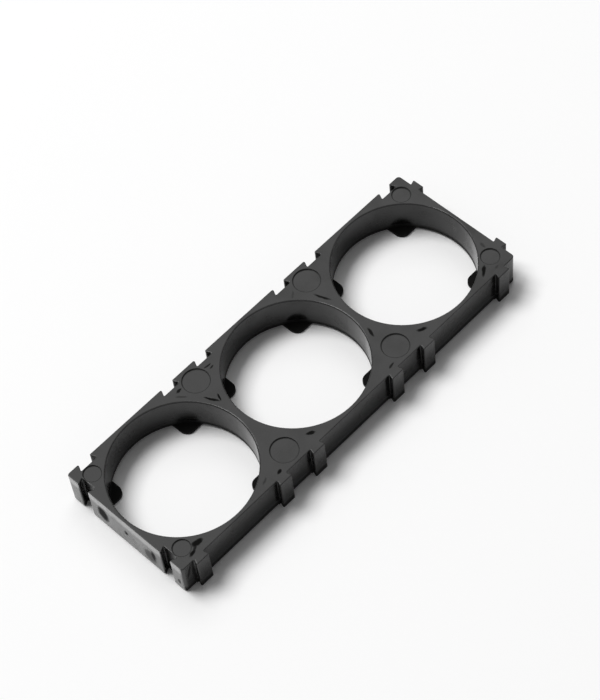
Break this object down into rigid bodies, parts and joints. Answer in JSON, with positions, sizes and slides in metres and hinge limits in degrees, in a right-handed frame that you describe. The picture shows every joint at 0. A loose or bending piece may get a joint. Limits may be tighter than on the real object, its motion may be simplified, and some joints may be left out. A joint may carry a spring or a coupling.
{
  "type": "battery cell holder bracket",
  "caption": "Low rectangular plastic bracket with a row of round bores for cylindrical battery cells, corner tongues that stop them, and dovetail tabs and grooves that lock brackets together.",
  "frame": {"origin": "centre of the whole footprint, tabs included, on the underside", "axes": "+X along the row of bores towards the end with tabs, +Y towards the long side with grooves, +Z out of the mouths of the bores"},
  "size_m": [0.1046, 0.0358, 0.0093],
  "materials": {
    "black_plastic": "black moulded plastic with a plain semi-gloss surface"
  },
  "bodies": {
    "root": {"cell_holder_bracket": "black_plastic"}
  },
  "joints": []
}
